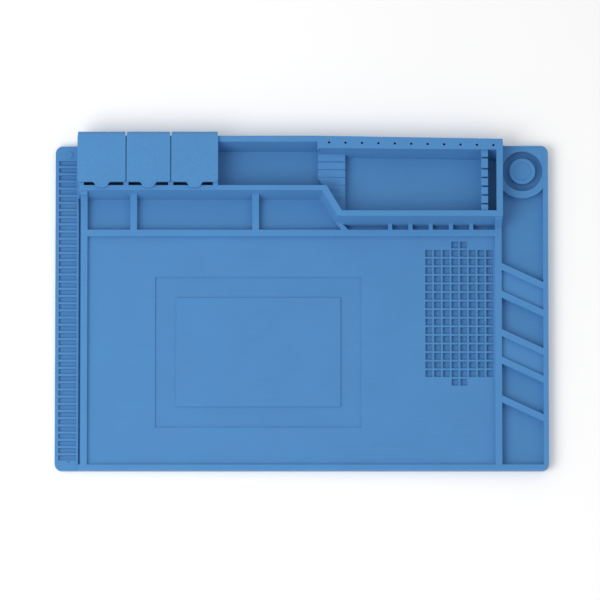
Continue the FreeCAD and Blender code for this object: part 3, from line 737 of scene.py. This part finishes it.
def make_lid(number, side):
    """A flip lid: a plate with round corners, a finger tab at its front and a locating rim underneath."""
    node = f"lid_{side}"
    x0, x1 = lid_sides(side)
    tip, back = low(node).y, high(node).y
    z1 = high(node).z
    z0 = z1 - 3.4 * MM
    front = tip + 5.4 * MM
    middle = (x0 + x1) / 2
    select_nothing()
    bpy.ops.mesh.primitive_cube_add(
        size=1, location=(middle, (front + back) / 2, (z0 + z1) / 2), scale=(x1 - x0, back - front, z1 - z0)
    )
    lid = start_piece(f"flip_{node}")
    bpy.ops.object.transform_apply(location=True, rotation=True, scale=True)
    pick(lid, "EDGE", lambda e: upright(lid, e) and lid.data.vertices[e.vertices[0]].co.y > back - MM)
    bpy.ops.mesh.bevel(offset=0.6 * MM, segments=2, affect="EDGES")
    done()
    pick(lid, "EDGE", lambda e: upright(lid, e) and lid.data.vertices[e.vertices[0]].co.y < front + MM)
    bpy.ops.mesh.bevel(offset=2.2 * MM, segments=4, affect="EDGES")
    done()
    root, end = 7.2 * MM, 4.6 * MM
    for place in (middle - root, middle + root):
        pick(lid, "FACE", lambda f: f.normal.y < -0.9)
        cut((place, 0, 0), (1, 0, 0))
        done()
    pick(lid, "FACE", lambda f: f.normal.y < -0.9 and abs(f.center.x - middle) < MM)
    extrude((0, tip - front, 0))
    bpy.ops.transform.resize(value=(end / root, 1, 1), center_override=(middle, tip, z0))
    done()
    pick(lid, "EDGE", lambda e: upright(lid, e) and lid.data.vertices[e.vertices[0]].co.y < tip + MM)
    bpy.ops.mesh.bevel(offset=3.4 * MM, segments=5, affect="EDGES")
    done()

    def at_tab_root(edge):
        return abs(abs(lid.data.vertices[edge.vertices[0]].co.x - middle) - root) < 1e-5

    pick(lid, "EDGE", lambda e: upright(lid, e) and at_tab_root(e))
    bpy.ops.mesh.bevel(offset=1.4 * MM, segments=3, affect="EDGES")
    done()
    sharp_edges(lid, 50, lambda a, b: min(a.z, b.z) > z1 - 1e-5 and min(a.y, b.y) < back - 1e-5)
    soften(0.9 * MM, 4)
    rim = make_lid_rim(node, number, front, z0)
    only(lid)
    rim.select_set(True)
    bpy.ops.object.join()
    return lid


def make_lid_rim(node, number, front, top):
    """The hollow rim under a lid that finds the box opening."""
    x0, x1 = BOX_WALLS[number][1] + 0.8 * MM, BOX_WALLS[number + 1][0] - 0.8 * MM
    y0, y1 = front + 0.8 * MM, TRAY_BACK - 0.8 * MM
    bottom = low(node).z
    select_nothing()
    bpy.ops.mesh.primitive_cube_add(
        size=1, location=((x0 + x1) / 2, (y0 + y1) / 2, (top + MM + bottom) / 2),
        scale=(x1 - x0, y1 - y0, top + MM - bottom)
    )
    rim = start_piece("lid_rim_tool")
    bpy.ops.object.transform_apply(location=True, rotation=True, scale=True)
    pick(rim, "EDGE", lambda e: upright(rim, e))
    bpy.ops.mesh.bevel(offset=1.6 * MM, segments=4, affect="EDGES")
    done()
    pick(rim, "FACE", lambda f: f.normal.z < -0.9)
    bpy.ops.mesh.inset(thickness=1.8 * MM)
    extrude((0, 0, top - bottom + 0.5 * MM))
    done()
    sharp_edges(rim, 50, lambda a, b: max(a.z, b.z) < bottom + 1e-5)
    soften(0.4 * MM, 2)
    return rim


def make_strap(side):
    """The thin U of silicone that joins a lid's back edge to the block's back face."""
    node = f"strap_{side}"
    x0, x1 = lid_sides(side)
    x0, x1 = x0 + 0.4 * MM, x1 - 0.4 * MM
    z0, z1 = low(node).z, high(node).z
    thick = 1.2 * MM
    middle = (z0 + z1) / 2
    select_nothing()
    bpy.ops.mesh.primitive_plane_add(
        size=1, location=((x0 + x1) / 2, BLOCK_BACK, z0 + thick / 2 + 0.05 * MM), rotation=(math.pi / 2, 0, 0)
    )
    strap = start_piece(f"hinge_{node}")
    bpy.ops.object.transform_apply(location=True, rotation=True, scale=True)
    pick(strap, "VERT", lambda v: True)
    bpy.ops.transform.resize(
        value=(x1 - x0, 1, thick), center_override=((x0 + x1) / 2, BLOCK_BACK, z0 + thick / 2 + 0.05 * MM)
    )
    bpy.ops.mesh.spin(steps=16, angle=math.pi, center=(0, BLOCK_BACK, middle), axis=(-1, 0, 0))
    done()
    pick(strap, "FACE", lambda f: abs(f.normal.y) > 0.99 and abs(f.center.y - BLOCK_BACK) < 1e-5)
    bpy.ops.mesh.delete(type="FACE")
    done()
    pick(strap, "VERT", lambda v: abs(v.co.y - BLOCK_BACK) < 1e-5)
    bpy.ops.mesh.select_all(action="SELECT")
    bpy.ops.mesh.remove_doubles(threshold=1e-6)
    done()
    pick(strap, "EDGE", lambda e: all(
        abs(strap.data.vertices[v].co.y - BLOCK_BACK) < 1e-5 for v in e.vertices
    ))
    extrude((0, -0.8 * MM, 0))
    bpy.ops.mesh.select_all(action="SELECT")
    bpy.ops.mesh.fill_holes(sides=4)
    bpy.ops.mesh.normals_make_consistent(inside=False)
    done()
    sharp_edges(strap, 50, lambda a, b: max(a.y, b.y) > BLOCK_BACK - 1e-5)
    soften(0.35 * MM, 2)
    return strap


mat = make_moulding()
finish_surface(mat)
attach(mat, "mat")
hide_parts(*[n for n in frame["nodes"] if not n.startswith(("lid_", "strap_"))])


# Silicone

def silicone(name, color, grain, streak):
    """Matte moulded silicone: a fine grain, soft mottling, faint drawn streaks, and painted shade that
    darkens the low floors towards the sheet.
    """
    material = bpy.data.materials.new(name)
    material.use_nodes = True
    nodes, links = material.node_tree.nodes, material.node_tree.links
    shader = nodes["Principled BSDF"]
    shader.inputs["Specular IOR Level"].default_value = 0.35
    shader.inputs["Sheen Weight"].default_value = 0.06
    shader.inputs["Sheen Roughness"].default_value = 0.5
    place = nodes.new("ShaderNodeTexCoord").outputs["Object"]

    def noise(scale, detail, stretch=(1, 1, 1)):
        mapping = nodes.new("ShaderNodeMapping")
        mapping.inputs["Scale"].default_value = stretch
        links.new(place, mapping.inputs["Vector"])
        texture = nodes.new("ShaderNodeTexNoise")
        texture.inputs["Scale"].default_value = scale
        texture.inputs["Detail"].default_value = detail
        links.new(mapping.outputs["Vector"], texture.inputs["Vector"])
        return texture.outputs["Fac"]

    def ranged(value, start, end, low_value, high_value):
        span = nodes.new("ShaderNodeMapRange")
        limits = {"From Min": start, "From Max": end, "To Min": low_value, "To Max": high_value}
        for socket, number in limits.items():
            span.inputs[socket].default_value = number
        links.new(value, span.inputs["Value"])
        return span.outputs["Result"]

    def times(first, second):
        product = nodes.new("ShaderNodeMath")
        product.operation = "MULTIPLY"
        links.new(first, product.inputs[0])
        links.new(second, product.inputs[1])
        return product.outputs["Value"]

    mottle, speck = noise(26, 3), noise(1100, 2)
    streaks = noise(11, 3, (1, 45, 1))
    split = nodes.new("ShaderNodeSeparateXYZ")
    links.new(place, split.inputs["Vector"])
    # Painted shade: the base colour darkens with height, from the rail tops down to the sheet (0.91 there).
    # It stands in for the shade that falls on the floors of the trays, wells and pockets.
    depth = ranged(split.outputs["Z"], SHEET, RAIL, 0.91, 1.0)
    clouds = ranged(mottle, 0.3, 0.7, 0.975, 1.025)
    dots = ranged(speck, 0.3, 0.7, 1 - 0.07 * grain, 1 + 0.07 * grain)
    drawn = ranged(streaks, 0.3, 0.7, 1 - 0.03 * streak, 1 + 0.03 * streak)
    value = times(times(clouds, dots), times(drawn, depth))
    shade = nodes.new("ShaderNodeHueSaturation")
    shade.inputs["Color"].default_value = (*color, 1)
    links.new(value, shade.inputs["Value"])
    links.new(shade.outputs["Color"], shader.inputs["Base Color"])
    links.new(ranged(speck, 0.3, 0.7, 0.54, 0.68), shader.inputs["Roughness"])

    height = nodes.new("ShaderNodeMath")
    height.operation = "ADD"
    links.new(ranged(noise(1900, 2), 0.25, 0.75, 0, grain), height.inputs[0])
    links.new(ranged(streaks, 0.25, 0.75, 0, streak), height.inputs[1])
    bump = nodes.new("ShaderNodeBump")
    bump.inputs["Strength"].default_value = 0.35
    bump.inputs["Distance"].default_value = 0.00012
    links.new(height.outputs["Value"], bump.inputs["Height"])
    links.new(bump.outputs["Normal"], shader.inputs["Normal"])
    return material


moulded = silicone("mat_silicone", (0.061, 0.232, 0.510), 0.6, 0.6)
grained = silicone("lid_silicone", (0.061, 0.233, 0.503), 1.3, 0.0)
skin = silicone("strap_silicone", (0.061, 0.233, 0.503), 1.3, 0.0)
mat.data.materials.append(moulded)
for number, side in enumerate(("left", "middle", "right")):
    lid = make_lid(number, side)
    finish_surface(lid)
    lid.data.materials.append(grained)
    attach(lid, f"lid_{side}")
    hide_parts(f"lid_{side}")
    strap = make_strap(side)
    finish_surface(strap)
    strap.data.materials.append(skin)
    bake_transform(strap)
    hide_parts(f"strap_{side}")


# Studio

def make_studio():
    select_nothing()
    bpy.ops.mesh.primitive_plane_add(size=12, location=(0, 0, -0.0002))
    floor = start_piece("floor")
    paper = bpy.data.materials.new("floor_paper")
    paper.use_nodes = True
    shader = paper.node_tree.nodes["Principled BSDF"]
    shader.inputs["Base Color"].default_value = (0.97, 0.97, 0.97, 1)
    shader.inputs["Roughness"].default_value = 0.9
    floor.data.materials.append(paper)

    world = bpy.data.worlds.new("studio")
    bpy.context.scene.world = world
    world.use_nodes = True
    world.node_tree.nodes["Background"].inputs["Color"].default_value = (1, 1, 1, 1)
    world.node_tree.nodes["Background"].inputs["Strength"].default_value = 0.74

    towards_light = Vector((-0.65, -0.36, 1)).normalized()
    select_nothing()
    bpy.ops.object.light_add(type="AREA", location=towards_light * 1.6)
    key = bpy.context.object
    key.name = "key_light"
    key.data.shape = "DISK"
    key.data.size = 1.2
    key.data.energy = 12.4
    key.rotation_euler = towards_light.to_track_quat("Z", "Y").to_euler()

    tilt = math.radians(10)
    aim = Vector((-1.6, 8.6, 0)) * MM
    bpy.ops.object.camera_add(
        location=aim + Vector((0, -math.sin(tilt), math.cos(tilt))) * 10, rotation=(tilt, 0, 0)
    )
    camera = bpy.context.object
    camera.data.lens = 657
    camera.data.sensor_width = 36
    bpy.context.scene.camera = camera
    bpy.context.scene.view_settings.view_transform = "Standard"


make_studio()
